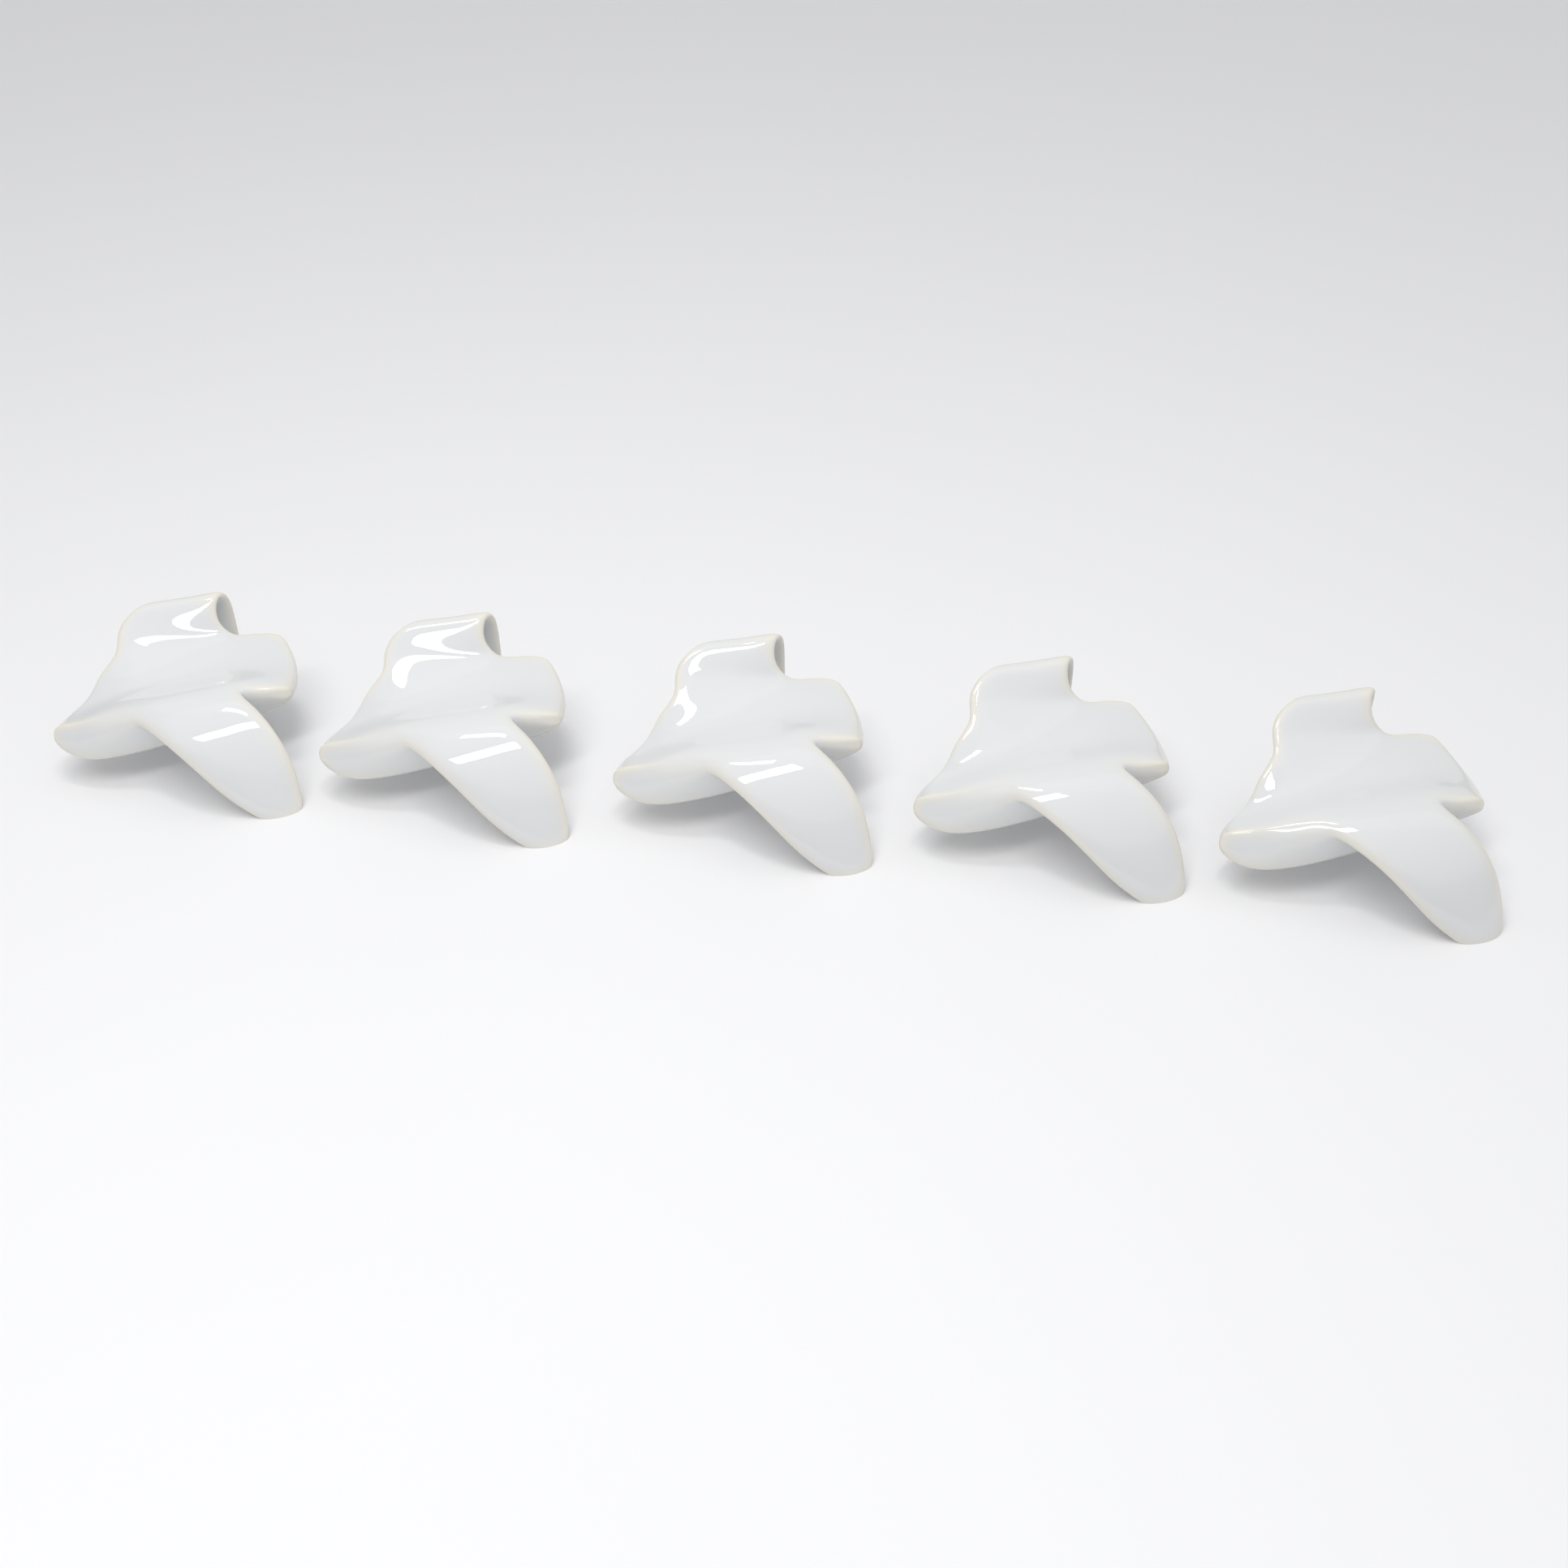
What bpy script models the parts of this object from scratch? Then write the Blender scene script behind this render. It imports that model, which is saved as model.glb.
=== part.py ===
"""Five loose porcelain rests standing in a row. Each one is a single bent piece: a leg in front, two wings
over a deep round keel, and a tab behind that rolls over into a rear wall reaching the ground."""

import math

import bmesh
import bpy
from mathutils import Vector

MM = 0.001

# Overall size of one piece.
SPAN = 95.0 * MM
DEPTH = 90.0 * MM
HEIGHT = 48.0 * MM
# The size the lines below are drawn for.
DRAWN_SPAN = 95.0
DRAWN_DEPTH = 90.0
DRAWN_HEIGHT = 48.0

# Wall of the sheet from the foot, over the crest, to the rear edge.
FOOT_WALL = 2.6 * MM
LEG_WALL = 4.0 * MM
ROOT_WALL = 6.2 * MM
TAB_WALL = 4.2 * MM
REAR_WALL = 3.8 * MM

# Bulge of the middle of the leg, the crest and the tab over a straight line between their edges.
LEG_CROWN = 1.6 * MM
TAB_CROWN = -0.6 * MM

# Sharpness of the wings' front edges and of their corners, from 0, soft, to 1, sharp.
EDGE_SHARPNESS = 0.35
CORNER_SHARPNESS = 0.25

# The layers that the rounding reads those from.
EDGE_CREASE = "crease_edge"
CORNER_CREASE = "crease_vert"

# The row: the room left between two pieces that stand side by side and are as wide as their span, and how
# each stands: along the row, across it (mm) and its turn (degrees).
GAP = 12.6 * MM
STANDING = (
    ("rest_1", 0.3, -3.3, 13.9),
    ("rest_2", -3.8, -1.6, 10.2),
    ("rest_3", 0.0, 0.0, 10.0),
    ("rest_4", 1.9, 0.6, 11.5),
    ("rest_5", 0.4, -3.3, 10.8),
)

# How finely each piece is rounded, and how close two points lie that count as one at the cut.
SMOOTHING = 1
WELD = 1e-6

# White glaze, and how glossy it is from 0, a mirror, to 1, dull.
GLAZE = (0.84, 0.85, 0.84, 1.0)
GLOSS_ROUGHNESS = 0.08

# How far the lines below dip under the ground, in mm, before they are cut off there.
DIP = -3.0

# Leg, from the ground up: left and right edge of its face, in mm.
LEG = (
    ((44.6, -21.4, DIP), (55.8, -18.6, DIP), FOOT_WALL),
    ((40.6, -22.0, 1.0), (57.8, -17.6, 1.2), FOOT_WALL),
    ((31.4, -20.2, 8.4), (57.8, -15.0, 8.0), LEG_WALL),
    ((22.8, -16.8, 18.0), (56.0, -11.0, 17.5), LEG_WALL),
    ((12.4, -10.4, 27.4), (52.0, -6.0, 27.0), LEG_WALL),
    ((1.4, -1.4, 33.2), (43.5, 3.3, 35.6), ROOT_WALL),
)

# Lines along the wings: left tip, left middle, left root, right root, right middle, right tip, in mm.
WING_FACE = (
    (
        (-36.0, 11.8, 24.0), (-25.6, 9.4, 26.2), (-3.8, 5.8, 34.3),
        (35.0, 11.2, 37.9), (43.4, 12.6, 35.7), (55.2, 15.4, 32.6),
    ),
    (
        (-36.0, 14.0, 23.3), (-26.0, 13.6, 25.6), (-4.8, 12.4, 33.6),
        (36.8, 18.2, 36.4), (44.8, 19.6, 34.5), (56.6, 20.8, 31.5),
    ),
    (
        (-35.4, 16.0, 23.0), (-25.4, 18.5, 25.3), (-6.4, 22.0, 31.0),
        (36.0, 28.0, 33.2), (44.8, 29.0, 31.8), (56.6, 30.2, 29.8),
    ),
    (
        (-33.8, 17.0, 22.8), (-24.6, 21.4, 26.0), (-9.8, 30.0, 34.5),
        (32.4, 37.8, 33.4), (41.2, 39.8, 31.8), (53.8, 41.4, 29.9),
    ),
    (
        (-32.6, 17.4, 22.6), (-23.4, 24.0, 26.6), (-14.2, 36.8, 38.6),
        (29.2, 47.6, 36.2), (36.6, 51.0, 35.2), (47.0, 52.4, 33.2),
    ),
)
WING_BELLY = (
    (
        (-37.2, 9.5, 18.8), (-26.4, 5.6, 19.2), (-4.8, 0.4, 28.8),
        (36.5, 9.5, 33.2), (43.8, 10.4, 30.9), (55.6, 13.2, 28.2),
    ),
    (
        (-36.2, 9.4, 14.4), (-25.4, 2.2, 11.4), (-2.0, 2.5, 13.0),
        (36.0, 12.5, 18.5), (44.2, 14.0, 21.2), (54.2, 16.2, 24.6),
    ),
    (
        (-35.2, 12.6, 15.2), (-25.2, 10.0, 12.4), (-3.5, 13.0, 13.6),
        (35.0, 24.0, 14.5), (43.5, 24.0, 18.0), (54.6, 23.5, 23.8),
    ),
    (
        (-33.2, 15.2, 18.4), (-23.8, 18.6, 19.2), (-8.0, 26.0, 22.6),
        (33.0, 37.5, 22.5), (41.0, 38.5, 23.6), (52.6, 38.5, 25.0),
    ),
    (
        (-31.8, 16.8, 20.0), (-21.8, 25.0, 23.6), (-12.2, 38.6, 34.4),
        (29.6, 50.0, 32.0), (36.8, 52.8, 31.8), (47.0, 53.0, 30.0),
    ),
)

# Tab, over the roll and down the rear wall to the ground: left and right edge of its face, in mm.
TAB = (
    ((-14.2, 43.5, 42.5), (24.8, 49.0, 40.2), TAB_WALL),
    ((-11.8, 49.0, 45.7), (23.6, 51.9, 44.2), TAB_WALL),
    ((-7.6, 53.4, 47.8), (24.0, 56.4, 48.6), TAB_WALL),
    ((-3.5, 58.0, 47.3), (26.0, 62.0, 48.6), TAB_WALL),
    ((-3.0, 60.5, 41.0), (27.2, 66.0, 41.0), REAR_WALL),
    ((-6.0, 59.0, 21.0), (26.4, 65.8, 21.0), REAR_WALL),
    ((-11.4, 55.0, 4.0), (27.0, 65.6, 4.0), REAR_WALL),
    ((-12.0, 54.6, DIP), (27.0, 65.6, DIP), REAR_WALL),
)

# Columns of the cage between the edges of the sheet, as shares of the way.
NEAR_COLUMN = 0.55
MIDDLE_COLUMNS = (0.0, 0.33, 0.67, 1.0)
# The sheet's own columns come after those of the left wing and before those of the right wing.
FIRST = 3
LAST = FIRST + len(MIDDLE_COLUMNS)
COLUMNS = LAST + 2


def at(point):
    """A drawn point in metres, at the overall size."""
    x, y, z = point
    return Vector((x * SPAN / DRAWN_SPAN, y * DEPTH / DRAWN_DEPTH, z * HEIGHT / DRAWN_HEIGHT))


def bowed(a, b, c, d, share):
    """A point between b and c on a smooth curve through a, b, c and d."""
    t = share
    return 0.5 * (
        2 * b + (c - a) * t + (2 * a - 5 * b + 4 * c - d) * t * t + (3 * b - a - 3 * c + d) * t * t * t
    )


def wing_line(points):
    """One line from wing tip to wing tip, a point for each column."""
    tip, mid, root, far_root, far_mid, far_tip = [at(p) for p in points]
    near = bowed(tip, mid, root, far_root, NEAR_COLUMN)
    middle = [bowed(mid, root, far_root, far_tip, s) for s in MIDDLE_COLUMNS]
    return [tip, mid, near, *middle, far_mid, far_tip]


def straight_line(row):
    left = at(row[0])
    right = at(row[1])
    return [left.lerp(right, s) for s in MIDDLE_COLUMNS]


def piece_mesh():
    """The cage of one piece: a grid of faces, a grid of undersides, and the rim between them."""
    rows = [dict(zip(range(FIRST, LAST), straight_line(r))) for r in LEG]
    crest = len(rows)
    rows += [dict(enumerate(wing_line(r))) for r in WING_FACE]
    base = len(rows)
    rows += [dict(zip(range(FIRST, LAST), straight_line(r))) for r in TAB]
    walls = [r[2] for r in LEG] + [None] * len(WING_FACE) + [r[2] for r in TAB]
    under = []
    for i, row in enumerate(rows):
        if crest <= i < base:
            under.append(dict(enumerate(wing_line(WING_BELLY[i - crest]))))
            continue
        line = {}
        for j in range(FIRST, LAST):
            ahead = rows[min(i + 1, len(rows) - 1)][j] - rows[max(i - 1, 0)][j]
            across = row[min(j + 1, LAST - 1)] - row[max(j - 1, FIRST)]
            out = across.cross(ahead).normalized()
            line[j] = row[j] - out * walls[i]
        under.append(line)
    for i, row in enumerate(rows):
        if crest <= i < base:
            continue
        crown = LEG_CROWN if i < crest else TAB_CROWN
        for j in range(FIRST + 1, LAST - 1):
            out = (row[j] - under[i][j]).normalized()
            row[j] += out * crown
            under[i][j] += out * crown
    mesh = bmesh.new()
    mesh.edges.layers.float.new(EDGE_CREASE)
    mesh.verts.layers.float.new(CORNER_CREASE)
    top = [{j: mesh.verts.new(p) for j, p in row.items()} for row in rows]
    low = [{j: mesh.verts.new(p) for j, p in row.items()} for row in under]
    cells = {
        (i, j)
        for i in range(len(rows) - 1)
        for j in range(COLUMNS - 1)
        if j in rows[i] and j + 1 in rows[i] and j in rows[i + 1] and j + 1 in rows[i + 1]
    }
    for i, j in sorted(cells):
        mesh.faces.new((top[i][j], top[i][j + 1], top[i + 1][j + 1], top[i + 1][j]))
        mesh.faces.new((low[i + 1][j], low[i + 1][j + 1], low[i][j + 1], low[i][j]))
        sides = (
            ((i - 1, j), (i, j), (i, j + 1)),
            ((i + 1, j), (i + 1, j + 1), (i + 1, j)),
            ((i, j - 1), (i + 1, j), (i, j)),
            ((i, j + 1), (i, j + 1), (i + 1, j + 1)),
        )
        for beyond, a, b in sides:
            if beyond not in cells:
                mesh.faces.new((top[b[0]][b[1]], top[a[0]][a[1]], low[a[0]][a[1]], low[b[0]][b[1]]))
    bmesh.ops.recalc_face_normals(mesh, faces=mesh.faces)
    sharpen(mesh, top, low, crest, base)
    data = bpy.data.meshes.new("rest")
    mesh.to_mesh(data)
    mesh.free()
    return data


def sharpen(mesh, top, low, crest, base):
    """Creases the front edges of the wings and the corners of their tips."""
    edge_crease = mesh.edges.layers.float[EDGE_CREASE]
    corner_crease = mesh.verts.layers.float[CORNER_CREASE]
    front = top[crest]
    for j in (*range(FIRST - 1), *range(LAST, COLUMNS - 1)):
        mesh.edges.get((front[j], front[j + 1]))[edge_crease] = EDGE_SHARPNESS
    for sheet in (top, low):
        for i in (crest, base - 1):
            for j in (0, COLUMNS - 1):
                sheet[i][j][corner_crease] = CORNER_SHARPNESS


def smoothed(data):
    """The cage rounded by subdivision and cut flat where it meets the ground."""
    cage = bpy.data.objects.new("cage", data)
    bpy.context.collection.objects.link(cage)
    rounding = cage.modifiers.new("rounding", "SUBSURF")
    rounding.levels = SMOOTHING
    rounding.render_levels = SMOOTHING
    bpy.context.view_layer.update()
    graph = bpy.context.evaluated_depsgraph_get()
    mesh = bmesh.new()
    mesh.from_mesh(cage.evaluated_get(graph).to_mesh())
    bpy.data.objects.remove(cage)
    parts = mesh.verts[:] + mesh.edges[:] + mesh.faces[:]
    bmesh.ops.bisect_plane(
        mesh, geom=parts, dist=WELD, plane_co=(0, 0, 0), plane_no=(0, 0, 1), clear_inner=True
    )
    rim = [e for e in mesh.edges if e.is_boundary]
    bmesh.ops.holes_fill(mesh, edges=rim, sides=0)
    bmesh.ops.recalc_face_normals(mesh, faces=mesh.faces)
    bmesh.ops.triangulate(mesh, faces=[f for f in mesh.faces if len(f.verts) > 4])
    for face in mesh.faces:
        face.smooth = True
    mesh.to_mesh(data)
    mesh.free()
    return data


def porcelain(name):
    material = bpy.data.materials.new(name)
    material.use_nodes = True
    shader = material.node_tree.nodes["Principled BSDF"]
    shader.inputs["Base Color"].default_value = GLAZE
    shader.inputs["Roughness"].default_value = GLOSS_ROUGHNESS
    shader.inputs["Metallic"].default_value = 0.0
    return material


def main():
    for thing in list(bpy.data.objects):
        bpy.data.objects.remove(thing, do_unlink=True)
    shape = smoothed(piece_mesh())
    middle = (len(STANDING) - 1) / 2
    pitch = SPAN + GAP
    pieces = []
    for number, (name, along, across, turn) in enumerate(STANDING):
        data = shape.copy()
        data.name = name
        data.materials.append(porcelain(name + "_porcelain"))
        piece = bpy.data.objects.new(name, data)
        bpy.context.collection.objects.link(piece)
        piece.location = ((number - middle) * pitch + along * MM, across * MM, 0.0)
        piece.rotation_euler = (0.0, 0.0, math.radians(turn))
        pieces.append(piece)
    bpy.context.view_layer.update()
    corners = [piece.matrix_world @ v.co for piece in pieces for v in piece.data.vertices]
    centre_x = (min(c.x for c in corners) + max(c.x for c in corners)) / 2
    centre_y = (min(c.y for c in corners) + max(c.y for c in corners)) / 2
    for piece in pieces:
        piece.location.x -= centre_x
        piece.location.y -= centre_y


main()
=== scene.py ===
"""Five glazed porcelain rests in a row, each a sheet that is extruded, thickened and rounded."""

import math

import bmesh
import bpy
import numpy as np
from mathutils import Matrix, Vector


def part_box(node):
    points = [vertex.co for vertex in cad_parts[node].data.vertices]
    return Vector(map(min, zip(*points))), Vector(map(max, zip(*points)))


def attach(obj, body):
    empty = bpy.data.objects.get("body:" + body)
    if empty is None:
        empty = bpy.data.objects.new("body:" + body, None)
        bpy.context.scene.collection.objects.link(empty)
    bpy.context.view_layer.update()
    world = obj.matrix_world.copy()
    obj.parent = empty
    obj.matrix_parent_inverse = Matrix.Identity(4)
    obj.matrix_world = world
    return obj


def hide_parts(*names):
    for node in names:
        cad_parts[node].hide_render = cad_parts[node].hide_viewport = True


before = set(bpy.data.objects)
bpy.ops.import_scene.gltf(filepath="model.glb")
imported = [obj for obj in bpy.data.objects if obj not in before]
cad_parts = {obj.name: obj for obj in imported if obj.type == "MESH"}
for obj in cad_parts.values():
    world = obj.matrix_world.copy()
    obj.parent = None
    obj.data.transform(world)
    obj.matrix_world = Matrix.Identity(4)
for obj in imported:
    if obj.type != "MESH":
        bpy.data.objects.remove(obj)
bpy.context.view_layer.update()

MM = 0.001

bl_info = {
    "name": "Porcelain rests",
    "version": (1, 0, 0),
    "blender": (4, 5, 0),
    "location": "View3D > Sidebar > Rests",
    "description": "Models a row of loose porcelain rests and the table they stand on",
    "category": "Add Mesh",
}

# How far the lines below dip under the ground, in mm, before they are cut off there.
DIP = -3.0

# Leg, from the ground up: left and right edge of its face, in mm.
LEG = (
    ((44.6, -21.4, DIP), (55.8, -18.6, DIP), "foot_wall"),
    ((40.6, -22.0, 1.0), (57.8, -17.6, 1.2), "foot_wall"),
    ((31.4, -20.2, 8.4), (57.8, -15.0, 8.0), "leg_wall"),
    ((22.8, -16.8, 18.0), (56.0, -11.0, 17.5), "leg_wall"),
    ((12.4, -10.4, 27.4), (52.0, -6.0, 27.0), "leg_wall"),
    ((1.4, -1.4, 33.2), (43.5, 3.3, 35.6), "root_wall"),
)

# Lines along the wings: left tip, left middle, left root, right root, right middle, right tip, in mm.
WING_FACE = (
    (
        (-36.0, 11.8, 24.0), (-25.6, 9.4, 26.2), (-3.8, 5.8, 34.3),
        (35.0, 11.2, 37.9), (43.4, 12.6, 35.7), (55.2, 15.4, 32.6),
    ),
    (
        (-36.0, 14.0, 23.3), (-26.0, 13.6, 25.6), (-4.8, 12.4, 33.6),
        (36.8, 18.2, 36.4), (44.8, 19.6, 34.5), (56.6, 20.8, 31.5),
    ),
    (
        (-35.4, 16.0, 23.0), (-25.4, 18.5, 25.3), (-6.4, 22.0, 31.0),
        (36.0, 28.0, 33.2), (44.8, 29.0, 31.8), (56.6, 30.2, 29.8),
    ),
    (
        (-33.8, 17.0, 22.8), (-24.6, 21.4, 26.0), (-9.8, 30.0, 34.5),
        (32.4, 37.8, 33.4), (41.2, 39.8, 31.8), (53.8, 41.4, 29.9),
    ),
    (
        (-32.6, 17.4, 22.6), (-23.4, 24.0, 26.6), (-14.2, 36.8, 38.6),
        (29.2, 47.6, 36.2), (36.6, 51.0, 35.2), (47.0, 52.4, 33.2),
    ),
)
WING_BELLY = (
    (
        (-37.2, 9.5, 18.8), (-26.4, 5.6, 19.2), (-4.8, 0.4, 28.8),
        (36.5, 9.5, 33.2), (43.8, 10.4, 30.9), (55.6, 13.2, 28.2),
    ),
    (
        (-36.2, 9.4, 14.4), (-25.4, 2.2, 11.4), (-2.0, 2.5, 13.0),
        (36.0, 12.5, 18.5), (44.2, 14.0, 21.2), (54.2, 16.2, 24.6),
    ),
    (
        (-35.2, 12.6, 15.2), (-25.2, 10.0, 12.4), (-3.5, 13.0, 13.6),
        (35.0, 24.0, 14.5), (43.5, 24.0, 18.0), (54.6, 23.5, 23.8),
    ),
    (
        (-33.2, 15.2, 18.4), (-23.8, 18.6, 19.2), (-8.0, 26.0, 22.6),
        (33.0, 37.5, 22.5), (41.0, 38.5, 23.6), (52.6, 38.5, 25.0),
    ),
    (
        (-31.8, 16.8, 20.0), (-21.8, 25.0, 23.6), (-12.2, 38.6, 34.4),
        (29.6, 50.0, 32.0), (36.8, 52.8, 31.8), (47.0, 53.0, 30.0),
    ),
)

# Tab, over the roll and down the rear wall to the ground: left and right edge of its face, in mm.
TAB = (
    ((-14.2, 43.5, 42.5), (24.8, 49.0, 40.2), "tab_wall"),
    ((-11.8, 49.0, 45.7), (23.6, 51.9, 44.2), "tab_wall"),
    ((-7.6, 53.4, 47.8), (24.0, 56.4, 48.6), "tab_wall"),
    ((-3.5, 58.0, 47.3), (26.0, 62.0, 48.6), "tab_wall"),
    ((-3.0, 60.5, 41.0), (27.2, 66.0, 41.0), "rear_wall"),
    ((-6.0, 59.0, 21.0), (26.4, 65.8, 21.0), "rear_wall"),
    ((-11.4, 55.0, 4.0), (27.0, 65.6, 4.0), "rear_wall"),
    ((-12.0, 54.6, DIP), (27.0, 65.6, DIP), "rear_wall"),
)

NEAR_COLUMN = 0.55
MIDDLE_COLUMNS = (0.0, 0.33, 0.67, 1.0)
LEFT_WING = 3
RIGHT_WING = 2

# The flat start of the sheet, and the sharpest turn that is still shaded smooth.
START_SIZE = 10 * MM
SMOOTH_ANGLE = math.radians(50.0)

# Turn of each rest on the table, in degrees.
TURNS = {"rest_1": 13.9, "rest_2": 10.2, "rest_3": 10.0, "rest_4": 11.5, "rest_5": 10.8}

# Thin glaze: the name of its attribute, the outward bends (per metre) between which it thins and the
# most that counts, and how many rounds even it out.
THIN_GLAZE = "thin_glaze"
SOFT_BEND = 14.0
SHARP_BEND = 85.0
MOST_BEND = 200.0
THIN_SPREAD = 45

# How near two points lie that count as one.
WELD = 1e-6

# Patterns in the glaze: how fine each is, how deep it shows, and how far the roughness strays.
POOL_SCALE = 38.0
POOL_DETAIL = 3.0
PINHOLE_SCALE = 90.0
PINHOLE_CORE = 0.012
PINHOLE_RIM = 0.03
PINHOLE_SHARE = 0.86
PINHOLE_STRENGTH = 0.5
PINHOLE_DEPTH = 0.0002
HAZE_SCALE = 120.0
HAZE_DETAIL = 4.0
CLEAREST = 0.6
HAZIEST = 1.5
RIPPLE_SCALE = 70.0
RIPPLE_DETAIL = 2.0
RIPPLE_STRENGTH = 0.06
RIPPLE_DEPTH = 0.0006
GLAZE_IOR = 1.52

# The table: size, mottling and sheen.
FLOOR_SIZE = 12.0
FLOOR_CELLS = 8
MOTTLE_SCALE = 6.0
MOTTLE_DETAIL = 3.0
MOTTLE_SHADE = 0.985
FLOOR_ROUGHNESS = 0.75
FLOOR_SPECULAR = 0.25

# Sockets of a colour Mix node, which shares its names between several kinds.
MIX_FACTOR = 0
MIX_FIRST = 6
MIX_SECOND = 7
MIX_RESULT = 2

SENSOR_WIDTH = 36.0
NEAREST_SEEN = 0.01

# Wide soft lights: name, heading and height in degrees, strength.
SKY_LIGHTS = (
    ("front_right", 135.0, 65.0, 0.70),
    ("front_left", -110.0, 60.0, 0.25),
    ("behind", 10.0, 50.0, 0.50),
)
SKY_LIGHT_WIDTH = math.radians(90.0)

# Softboxes that the glaze mirrors: a long one over the front and a small one overhead.
STRIP_PLACE = (-0.08, -0.45, 1.0)
STRIP_SIZE = (0.80, 0.14)
STRIP_TURN = 51.0
LID_PLACE = (-0.16, 0.0, 1.0)
LID_SIZE = (0.30, 0.10)


class RestSizes(bpy.types.PropertyGroup):
    """Walls and bulges of one rest, and how finely it is rounded."""

    foot_wall: bpy.props.FloatProperty(
        name="Foot wall", description="Wall at the foot's edge", default=2.6 * MM, unit="LENGTH"
    )
    leg_wall: bpy.props.FloatProperty(
        name="Leg wall", description="Wall of the leg", default=4.0 * MM, unit="LENGTH"
    )
    root_wall: bpy.props.FloatProperty(
        name="Root wall", description="Wall where the leg leaves the body", default=6.2 * MM, unit="LENGTH"
    )
    tab_wall: bpy.props.FloatProperty(
        name="Tab wall", description="Wall of the tab and its roll", default=4.2 * MM, unit="LENGTH"
    )
    rear_wall: bpy.props.FloatProperty(
        name="Rear wall", description="Wall behind the roll", default=3.8 * MM, unit="LENGTH"
    )
    leg_crown: bpy.props.FloatProperty(
        name="Leg crown", description="Bulge of the leg's middle", default=1.6 * MM, unit="LENGTH"
    )
    tab_crown: bpy.props.FloatProperty(
        name="Tab crown", description="Bulge of the tab's middle", default=-0.6 * MM, unit="LENGTH"
    )
    edge_sharpness: bpy.props.FloatProperty(
        name="Edge sharpness", description="Sharpness of the wings' front edges",
        default=0.35, min=0.0, max=1.0,
    )
    corner_sharpness: bpy.props.FloatProperty(
        name="Corner sharpness", description="Sharpness of the wings' corners",
        default=0.25, min=0.0, max=1.0,
    )
    rounding: bpy.props.IntProperty(
        name="Rounding", description="Subdivisions of the finished surface", default=4, min=1, max=5
    )


class GlazeLook(bpy.types.PropertyGroup):
    """Colours and gloss of the porcelain."""

    body: bpy.props.FloatVectorProperty(
        name="Body", description="Glaze over the body", subtype="COLOR", size=4,
        default=(0.80, 0.80, 0.80, 1.0),
    )
    pool: bpy.props.FloatVectorProperty(
        name="Pool", description="Thicker glaze in the hollows", subtype="COLOR", size=4,
        default=(0.76, 0.775, 0.785, 1.0),
    )
    edge: bpy.props.FloatVectorProperty(
        name="Edge", description="Thin glaze on the edges", subtype="COLOR", size=4,
        default=(0.84, 0.81, 0.73, 1.0),
    )
    speck: bpy.props.FloatVectorProperty(
        name="Speck", description="Pinholes in the glaze", subtype="COLOR", size=4,
        default=(0.55, 0.54, 0.50, 1.0),
    )
    roughness: bpy.props.FloatProperty(
        name="Roughness", description="Roughness of the clean glaze", default=0.03, min=0.0, max=1.0
    )


class StageLook(bpy.types.PropertyGroup):
    """Floor, lights and camera."""

    floor: bpy.props.FloatVectorProperty(
        name="Floor", description="Colour of the table", subtype="COLOR", size=4,
        default=(0.90, 0.90, 0.91, 1.0),
    )
    sky: bpy.props.FloatVectorProperty(
        name="Sky", description="Colour of the light from all round", subtype="COLOR", size=4,
        default=(0.98, 0.99, 1.0, 1.0),
    )
    sky_strength: bpy.props.FloatProperty(
        name="Sky strength", description="Strength of the light from all round", default=0.25, min=0.0
    )
    strip_power: bpy.props.FloatProperty(
        name="Strip power", description="Power of the long softbox in watts", default=4.2, min=0.0
    )
    lid_power: bpy.props.FloatProperty(
        name="Lid power", description="Power of the small softbox overhead in watts", default=1.1, min=0.0
    )
    azimuth: bpy.props.FloatProperty(
        name="Azimuth", description="Camera's heading", default=math.radians(11.3), subtype="ANGLE"
    )
    elevation: bpy.props.FloatProperty(
        name="Elevation", description="Camera's downward tilt", default=math.radians(40.0), subtype="ANGLE"
    )
    roll: bpy.props.FloatProperty(
        name="Roll", description="Camera's lean", default=math.radians(-2.0), subtype="ANGLE"
    )
    place: bpy.props.FloatVectorProperty(
        name="Camera place", description="Camera from the middle of the row", subtype="TRANSLATION",
        default=(0.1188, -0.5425, 0.4706),
    )
    lens: bpy.props.FloatProperty(
        name="Lens", description="Focal length in mm", default=44.78
    )


# Modelling helpers.


def at(point):
    return Vector(point) * MM


def bowed(a, b, c, d, share):
    """A point between b and c on a smooth curve through a, b, c and d."""
    t = share
    return 0.5 * (
        2 * b + (c - a) * t + (2 * a - 5 * b + 4 * c - d) * t * t + (3 * b - a - 3 * c + d) * t * t * t
    )


def wing_line(points):
    """One line from wing tip to wing tip: the left wing inwards, the middle, the right wing outwards."""
    tip, mid, root, far_root, far_mid, far_tip = [at(p) for p in points]
    near = bowed(tip, mid, root, far_root, NEAR_COLUMN)
    middle = [bowed(mid, root, far_root, far_tip, s) for s in MIDDLE_COLUMNS]
    return [tip, mid, near, *middle, far_mid, far_tip]


def straight_line(row):
    left, right = at(row[0]), at(row[1])
    return [left.lerp(right, s) for s in MIDDLE_COLUMNS]


def outward(rows, i, j):
    """The direction out of the sheet's face at one point of a row without wings."""
    last = len(rows[i]) - 1
    ahead = rows[min(i + 1, len(rows) - 1)][j] - rows[max(i - 1, 0)][j]
    across = rows[i][min(j + 1, last)] - rows[i][max(j - 1, 0)]
    return across.cross(ahead).normalized()


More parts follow.
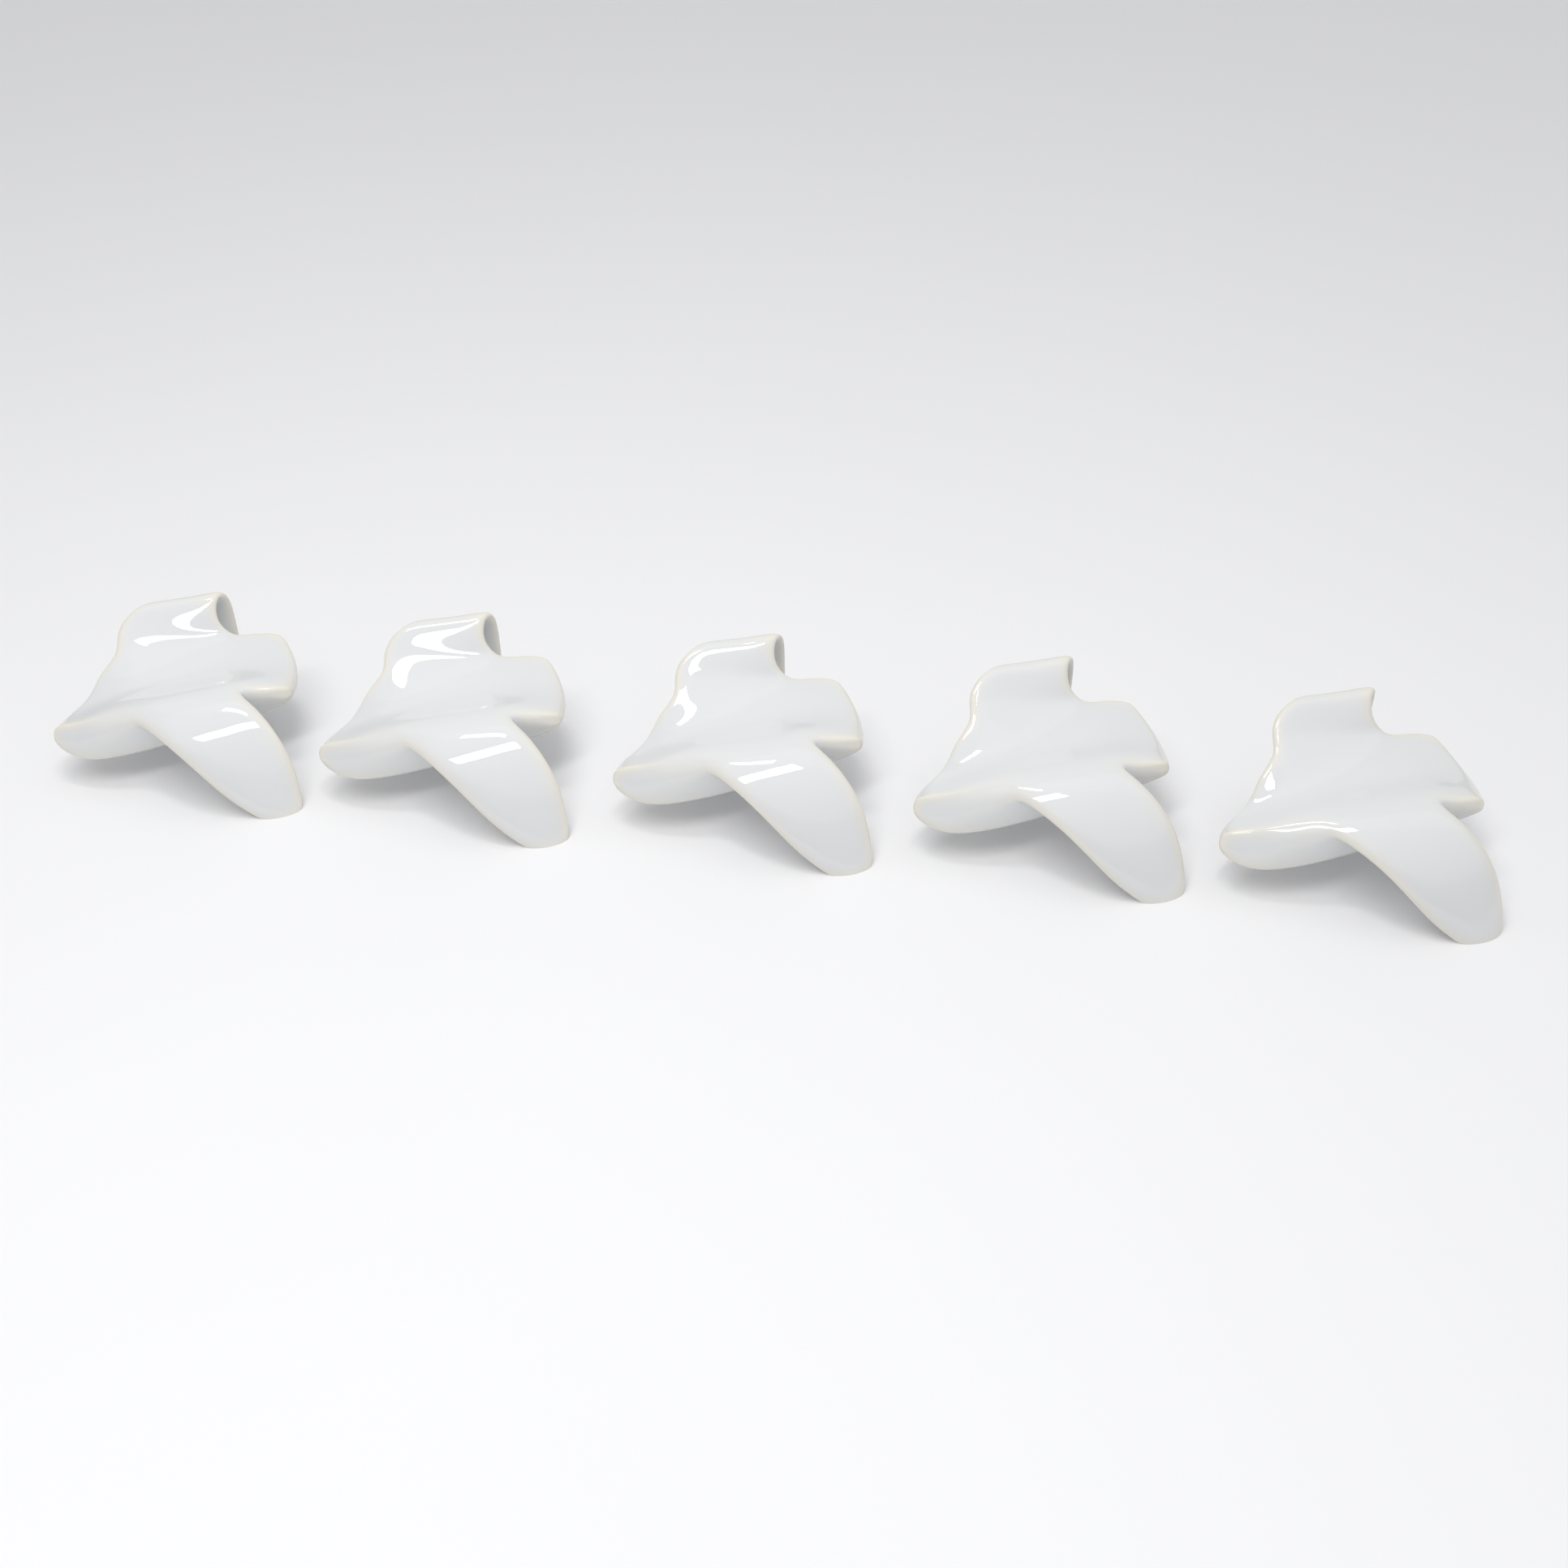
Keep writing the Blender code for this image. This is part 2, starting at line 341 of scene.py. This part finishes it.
def face_and_underside(sizes):
    """Where each row's points lie on the face and on the underside, and which rows grow wings."""
    strip = [straight_line(r) for r in LEG]
    crest = len(strip)
    wings = [wing_line(line) for line in WING_FACE]
    belly = [wing_line(line) for line in WING_BELLY]
    middle = slice(LEFT_WING, LEFT_WING + len(MIDDLE_COLUMNS))
    strip += [line[middle] for line in wings]
    strip += [straight_line(r) for r in TAB]
    base = crest + len(wings)
    walls = [r[2] for r in LEG] + [None] * len(wings) + [r[2] for r in TAB]
    face = [list(row) for row in strip]
    under = []
    for i, row in enumerate(strip):
        if crest <= i < base:
            under.append(belly[i - crest][middle])
            continue
        wall = getattr(sizes, walls[i])
        crown = sizes.leg_crown if i < crest else sizes.tab_crown
        line = []
        for j, point in enumerate(row):
            out = outward(strip, i, j)
            bulge = out * crown if 0 < j < len(row) - 1 else Vector()
            face[i][j] = point + bulge
            line.append(point - out * wall + bulge)
        under.append(line)
    return face, under, slice(crest, base)


def in_edit_mode(obj):
    bpy.ops.object.select_all(action="DESELECT")
    bpy.context.view_layer.objects.active = obj
    obj.select_set(True)
    bpy.ops.object.mode_set(mode="EDIT")
    bpy.ops.mesh.select_all(action="DESELECT")


def cage_of(obj):
    cage = bmesh.from_edit_mesh(obj.data)
    cage.verts.ensure_lookup_table()
    return cage


def pick_edges(obj, chain):
    """Selects the edges along a chain of vertex numbers."""
    bpy.ops.mesh.select_mode(type="EDGE")
    bpy.ops.mesh.select_all(action="DESELECT")
    cage = cage_of(obj)
    for a, b in zip(chain, chain[1:]):
        cage.edges.get((cage.verts[a], cage.verts[b])).select_set(True)
    bmesh.update_edit_mesh(obj.data)


def move_to(obj, number, target):
    """Moves one vertex of the cage to its place."""
    bpy.ops.mesh.select_mode(type="VERT")
    bpy.ops.mesh.select_all(action="DESELECT")
    cage = cage_of(obj)
    vertex = cage.verts[number]
    vertex.select_set(True)
    step = target - vertex.co
    bmesh.update_edit_mesh(obj.data)
    bpy.ops.transform.translate(value=step)


def extruded(obj, chain, targets):
    """Extrudes the edges along a chain to a new line of points, and returns the new vertex numbers."""
    pick_edges(obj, chain)
    step = targets[0] - cage_of(obj).verts[chain[0]].co
    bpy.ops.mesh.extrude_region_move(TRANSFORM_OT_translate={"value": step})
    cage = cage_of(obj)
    new = []
    for number in chain:
        grown = [e.other_vert(cage.verts[number]) for e in cage.verts[number].link_edges]
        new.append(next(v.index for v in grown if v.select))
    for number, target in zip(new, targets):
        move_to(obj, number, target)
    return new


def model_rest(sizes):
    """One rest, in its own frame and unturned."""
    face, under, winged = face_and_underside(sizes)
    start = (face[0][0] + face[1][-1]) / 2
    bpy.ops.mesh.primitive_grid_add(
        x_subdivisions=len(MIDDLE_COLUMNS) - 1, y_subdivisions=1, size=START_SIZE, location=start
    )
    rest = bpy.context.object
    bpy.ops.object.transform_apply(location=True, rotation=True, scale=True)
    in_edit_mode(rest)
    numbers = sorted(range(len(rest.data.vertices)), key=lambda n: tuple(cage_of(rest).verts[n].co.yx))
    count = len(MIDDLE_COLUMNS)
    rows = [numbers[:count], numbers[count:]]
    for row, targets in zip(rows, face):
        for number, target in zip(row, targets):
            move_to(rest, number, target)
    for targets in face[2:]:
        rows.append(extruded(rest, rows[-1], targets))
    places = {number: under[i][j] for i, row in enumerate(rows) for j, number in enumerate(row)}
    wing_rows = rows[winged]
    left_front, left_tip = grow_wing(rest, [row[0] for row in wing_rows], range(LEFT_WING)[::-1], places)
    outer = range(LEFT_WING + count, LEFT_WING + count + RIGHT_WING)
    right_front, right_tip = grow_wing(rest, [row[-1] for row in wing_rows], outer, places)
    under_of = thicken(rest, places, sizes.leg_wall)
    crease_edges(rest, left_front[1:], sizes.edge_sharpness)
    crease_edges(rest, right_front[1:], sizes.edge_sharpness)
    corners = [left_tip[0], left_tip[-1], right_tip[0], right_tip[-1]]
    crease_corners(rest, corners + [under_of[number] for number in corners], sizes.corner_sharpness)
    bpy.ops.object.mode_set(mode="OBJECT")
    rounding = rest.modifiers.new("rounding", "SUBSURF")
    rounding.levels = sizes.rounding
    rounding.render_levels = sizes.rounding
    bpy.ops.object.modifier_apply(modifier=rounding.name)
    stand_on_ground(rest)
    mark_thin_glaze(rest)
    return rest


def grow_wing(rest, chain, columns, places):
    """Extrudes the sheet's side outwards line by line; returns the wing's front line and its tip."""
    front = [chain[0]]
    for column in columns:
        chain = extruded(rest, chain, [wing_line(line)[column] for line in WING_FACE])
        places.update(zip(chain, [wing_line(line)[column] for line in WING_BELLY]))
        front.append(chain[0])
    return front, chain


def crease_edges(rest, chain, sharpness):
    pick_edges(rest, chain)
    bpy.ops.transform.edge_crease(value=sharpness)


def crease_corners(rest, numbers, sharpness):
    bpy.ops.mesh.select_mode(type="VERT")
    bpy.ops.mesh.select_all(action="DESELECT")
    cage = cage_of(rest)
    for number in numbers:
        cage.verts[number].select_set(True)
    bmesh.update_edit_mesh(rest.data)
    bpy.ops.transform.vert_crease(value=sharpness)


def thicken(rest, places, wall):
    """Extrudes the whole sheet and moves each new point to its place on the underside."""
    step = Vector((0, 0, -wall))
    above = {number: cage_of(rest).verts[number].co.copy() for number in places}
    bpy.ops.mesh.select_mode(type="FACE")
    bpy.ops.mesh.select_all(action="SELECT")
    bpy.ops.mesh.extrude_region_move(TRANSFORM_OT_translate={"value": step})
    lowered = [(v.index, v.co - step) for v in cage_of(rest).verts if v.select]
    if len(lowered) != len(places):
        raise RuntimeError("the sheet's underside does not match its face")
    pairs = {}
    for index, place in lowered:
        pairs[index] = min(above, key=lambda number: (above[number] - place).length)
    for index, number in pairs.items():
        move_to(rest, index, places[number])
    bpy.ops.mesh.select_all(action="SELECT")
    bpy.ops.mesh.normals_make_consistent(inside=False)
    return {number: index for index, number in pairs.items()}


def stand_on_ground(rest):
    """Cuts the foot and the rear wall flat where they meet the ground."""
    in_edit_mode(rest)
    bpy.ops.mesh.select_all(action="SELECT")
    bpy.ops.mesh.bisect(
        plane_co=(0, 0, 0), plane_no=(0, 0, 1), clear_inner=True, use_fill=True, threshold=WELD
    )
    bpy.ops.mesh.select_all(action="SELECT")
    bpy.ops.mesh.normals_make_consistent(inside=False)
    bpy.ops.object.mode_set(mode="OBJECT")
    bpy.ops.object.shade_smooth_by_angle(angle=SMOOTH_ANGLE)


def mark_thin_glaze(rest):
    """Notes on each point how sharply the surface bends outwards round it, where glaze runs thin."""
    mesh = rest.data
    count = len(mesh.vertices)
    ends = np.empty(2 * len(mesh.edges), dtype=np.int64)
    mesh.edges.foreach_get("vertices", ends)
    first, second = ends.reshape(-1, 2).T
    place = np.array([v.co for v in mesh.vertices])
    normal = np.array([v.normal for v in mesh.vertices])
    away = place[second] - place[first]
    square = np.maximum((away * away).sum(axis=1), WELD * WELD)
    drop = -(normal[first] * away).sum(axis=1) / square
    far_drop = (normal[second] * away).sum(axis=1) / square
    sides = np.bincount(ends, minlength=count)
    bend = (np.bincount(first, drop, count) + np.bincount(second, far_drop, count)) / sides
    bend = np.clip(bend, -MOST_BEND, MOST_BEND)
    for _ in range(THIN_SPREAD):
        near = np.bincount(first, bend[second], count) + np.bincount(second, bend[first], count)
        bend = (bend + near) / (1 + sides)
    layer = mesh.attributes.new(THIN_GLAZE, "FLOAT", "POINT")
    layer.data.foreach_set("value", np.clip((bend - SOFT_BEND) / (SHARP_BEND - SOFT_BEND), 0.0, 1.0))


def set_down(rest, solid, turn):
    """Turns and moves a finished rest onto the place of its solid, and bakes that into its mesh."""
    low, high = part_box(solid)
    bpy.ops.object.select_all(action="DESELECT")
    bpy.context.view_layer.objects.active = rest
    rest.select_set(True)
    bpy.ops.transform.rotate(value=-turn, orient_axis="Z", center_override=(0, 0, 0))
    bpy.ops.object.transform_apply(location=True, rotation=True, scale=True)
    xs = [v.co.x for v in rest.data.vertices]
    ys = [v.co.y for v in rest.data.vertices]
    across = (low[0] + high[0] - min(xs) - max(xs)) / 2
    along = (low[1] + high[1] - min(ys) - max(ys)) / 2
    bpy.ops.transform.translate(value=(across, along, 0.0))
    bpy.ops.object.transform_apply(location=True, rotation=True, scale=True)


# Materials.


def node(tree, kind, **values):
    """Adds a node and sets its sockets, or else its properties, by name."""
    made = tree.nodes.new(kind)
    for name, value in values.items():
        if name in made.inputs:
            made.inputs[name].default_value = value
        else:
                setattr(made, name, value)
    return made


def mixed(tree, share, first, second):
    """A mix of two colours by a share; the first may be a colour or another node's output."""
    mix = node(tree, "ShaderNodeMix", data_type="RGBA")
    tree.links.new(share, mix.inputs[MIX_FACTOR])
    if isinstance(first, bpy.types.NodeSocket):
        tree.links.new(first, mix.inputs[MIX_FIRST])
    else:
        mix.inputs[MIX_FIRST].default_value = first
    mix.inputs[MIX_SECOND].default_value = second
    return mix.outputs[MIX_RESULT]


def pinhole_pattern(tree, where):
    """A few small round pinholes: 1 inside one, 0 elsewhere."""
    link = tree.links.new
    cells = node(tree, "ShaderNodeTexVoronoi", Scale=PINHOLE_SCALE)
    link(where, cells.inputs["Vector"])
    holes = node(tree, "ShaderNodeMapRange")
    holes.inputs["From Min"].default_value = PINHOLE_CORE
    holes.inputs["From Max"].default_value = PINHOLE_RIM
    holes.inputs["To Min"].default_value = 1.0
    holes.inputs["To Max"].default_value = 0.0
    link(cells.outputs["Distance"], holes.inputs["Value"])
    few = node(tree, "ShaderNodeMath", operation="GREATER_THAN")
    few.inputs[1].default_value = PINHOLE_SHARE
    link(cells.outputs["Color"], few.inputs[0])
    pinholes = node(tree, "ShaderNodeMath", operation="MULTIPLY")
    link(holes.outputs["Result"], pinholes.inputs[0])
    link(few.outputs["Value"], pinholes.inputs[1])
    return pinholes.outputs["Value"]


def glaze_material(name, look):
    """White glaze: a cool body that pools in clouds, warm thin edges, pinholes and a soft ripple."""
    material = bpy.data.materials.new(name)
    material.use_nodes = True
    tree = material.node_tree
    link = tree.links.new
    shader = tree.nodes["Principled BSDF"]
    where = node(tree, "ShaderNodeTexCoord").outputs["Object"]
    cloud = node(tree, "ShaderNodeTexNoise", Scale=POOL_SCALE, Detail=POOL_DETAIL)
    link(where, cloud.inputs["Vector"])
    pooling = mixed(tree, cloud.outputs["Fac"], look.body, look.pool)
    thin = node(tree, "ShaderNodeAttribute", attribute_name=THIN_GLAZE)
    edges = mixed(tree, thin.outputs["Fac"], pooling, look.edge)
    pinholes = pinhole_pattern(tree, where)
    link(mixed(tree, pinholes, edges, look.speck), shader.inputs["Base Color"])
    haze = node(tree, "ShaderNodeTexNoise", Scale=HAZE_SCALE, Detail=HAZE_DETAIL)
    link(where, haze.inputs["Vector"])
    rough = node(tree, "ShaderNodeMapRange")
    rough.inputs["To Min"].default_value = look.roughness * CLEAREST
    rough.inputs["To Max"].default_value = look.roughness * HAZIEST
    link(haze.outputs["Fac"], rough.inputs["Value"])
    link(rough.outputs["Result"], shader.inputs["Roughness"])
    ripple = node(tree, "ShaderNodeTexNoise", Scale=RIPPLE_SCALE, Detail=RIPPLE_DETAIL)
    link(where, ripple.inputs["Vector"])
    swell = node(tree, "ShaderNodeBump", Strength=RIPPLE_STRENGTH, Distance=RIPPLE_DEPTH)
    link(ripple.outputs["Fac"], swell.inputs["Height"])
    dents = node(tree, "ShaderNodeBump", Strength=PINHOLE_STRENGTH, Distance=PINHOLE_DEPTH, invert=True)
    link(pinholes, dents.inputs["Height"])
    link(swell.outputs["Normal"], dents.inputs["Normal"])
    link(dents.outputs["Normal"], shader.inputs["Normal"])
    shader.inputs["IOR"].default_value = GLAZE_IOR
    return material


def floor_material(look):
    """Smooth white card with the faintest mottling."""
    material = bpy.data.materials.new("white_card")
    material.use_nodes = True
    tree = material.node_tree
    shader = tree.nodes["Principled BSDF"]
    where = node(tree, "ShaderNodeTexCoord").outputs["Object"]
    mottle = node(tree, "ShaderNodeTexNoise", Scale=MOTTLE_SCALE, Detail=MOTTLE_DETAIL)
    tree.links.new(where, mottle.inputs["Vector"])
    shade = [c * MOTTLE_SHADE for c in look.floor[:3]] + [1.0]
    tree.links.new(mixed(tree, mottle.outputs["Fac"], look.floor, shade), shader.inputs["Base Color"])
    shader.inputs["Roughness"].default_value = FLOOR_ROUGHNESS
    shader.inputs["Specular IOR Level"].default_value = FLOOR_SPECULAR
    return material


# Operators.


class RESTS_OT_add_rests(bpy.types.Operator):
    """Model one rest and set five of them down in a row"""

    bl_idname = "rests.add_rests"
    bl_label = "Add the rests"

    def execute(self, context):
        sizes = context.scene.rest_sizes
        look = context.scene.glaze_look
        pattern = model_rest(sizes)
        for name, turn in TURNS.items():
            rest = pattern.copy()
            rest.data = pattern.data.copy()
            rest.name = name + "_porcelain"
            rest.data.name = rest.name
            context.collection.objects.link(rest)
            set_down(rest, name, math.radians(turn))
            rest.data.materials.clear()
            rest.data.materials.append(glaze_material(name + "_glaze", look))
            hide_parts(name)
            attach(rest, name)
        bpy.data.objects.remove(pattern)
        return {"FINISHED"}


def add_sun(name, heading, height, strength):
    """A very wide soft light from far away; its heading counts from straight behind the row, clockwise."""
    data = bpy.data.lights.new(name, "SUN")
    data.energy = strength
    data.angle = SKY_LIGHT_WIDTH
    heading = math.radians(heading)
    height = math.radians(height)
    flat = math.cos(height)
    source = Vector((flat * math.sin(heading), flat * math.cos(heading), math.sin(height)))
    light = bpy.data.objects.new(name, data)
    bpy.context.collection.objects.link(light)
    light.location = source
    light.rotation_euler = (-source).to_track_quat("-Z", "Y").to_euler()


def add_box(name, place, size, turn, power):
    """A softbox that faces straight down, turned about the upright."""
    data = bpy.data.lights.new(name, "AREA")
    data.shape = "RECTANGLE"
    data.size, data.size_y = size
    data.energy = power
    box = bpy.data.objects.new(name, data)
    bpy.context.collection.objects.link(box)
    box.location = place
    box.rotation_euler = (0.0, 0.0, math.radians(turn))


class RESTS_OT_add_stage(bpy.types.Operator):
    """Lay the floor, and place the lights and the camera"""

    bl_idname = "rests.add_stage"
    bl_label = "Add the stage"

    def execute(self, context):
        look = context.scene.stage_look
        bpy.ops.object.select_all(action="DESELECT")
        bpy.ops.mesh.primitive_grid_add(
            x_subdivisions=FLOOR_CELLS, y_subdivisions=FLOOR_CELLS, size=FLOOR_SIZE
        )
        floor = context.object
        floor.name = "floor"
        floor.data.materials.append(floor_material(look))
        world = bpy.data.worlds.new("studio")
        world.use_nodes = True
        background = world.node_tree.nodes["Background"]
        background.inputs["Color"].default_value = look.sky
        background.inputs["Strength"].default_value = look.sky_strength
        context.scene.world = world
        context.scene.view_settings.view_transform = "Standard"
        for name, heading, height, strength in SKY_LIGHTS:
            add_sun(name, heading, height, strength)
        add_box("strip", STRIP_PLACE, STRIP_SIZE, STRIP_TURN, look.strip_power)
        add_box("lid", LID_PLACE, LID_SIZE, 0.0, look.lid_power)
        data = bpy.data.cameras.new("camera")
        data.lens = look.lens
        data.sensor_width = SENSOR_WIDTH
        data.clip_start = NEAREST_SEEN
        camera = bpy.data.objects.new("camera", data)
        context.collection.objects.link(camera)
        camera.location = look.place
        turn = (
            Matrix.Rotation(look.azimuth, 4, "Z")
            @ Matrix.Rotation(math.pi / 2 - look.elevation, 4, "X")
            @ Matrix.Rotation(look.roll, 4, "Z")
        )
        camera.rotation_euler = turn.to_euler()
        context.scene.camera = camera
        return {"FINISHED"}


class RESTS_PT_panel(bpy.types.Panel):
    """Sizes, glaze and stage of the rests"""

    bl_idname = "RESTS_PT_panel"
    bl_label = "Porcelain rests"
    bl_space_type = "VIEW_3D"
    bl_region_type = "UI"
    bl_category = "Rests"

    def draw(self, context):
        layout = self.layout
        scene = context.scene
        for group in (scene.rest_sizes, scene.glaze_look, scene.stage_look):
            for name in group.__annotations__:
                layout.prop(group, name)
        layout.operator(RESTS_OT_add_rests.bl_idname)
        layout.operator(RESTS_OT_add_stage.bl_idname)


CLASSES = (RestSizes, GlazeLook, StageLook, RESTS_OT_add_rests, RESTS_OT_add_stage, RESTS_PT_panel)


def register():
    for item in CLASSES:
        bpy.utils.register_class(item)
    bpy.types.Scene.rest_sizes = bpy.props.PointerProperty(type=RestSizes)
    bpy.types.Scene.glaze_look = bpy.props.PointerProperty(type=GlazeLook)
    bpy.types.Scene.stage_look = bpy.props.PointerProperty(type=StageLook)


def unregister():
    del bpy.types.Scene.stage_look
    del bpy.types.Scene.glaze_look
    del bpy.types.Scene.rest_sizes
    for item in reversed(CLASSES):
        bpy.utils.unregister_class(item)


def main():
    register()
    bpy.ops.rests.add_rests()
    bpy.ops.rests.add_stage()


if __name__ == "__main__":
    main()
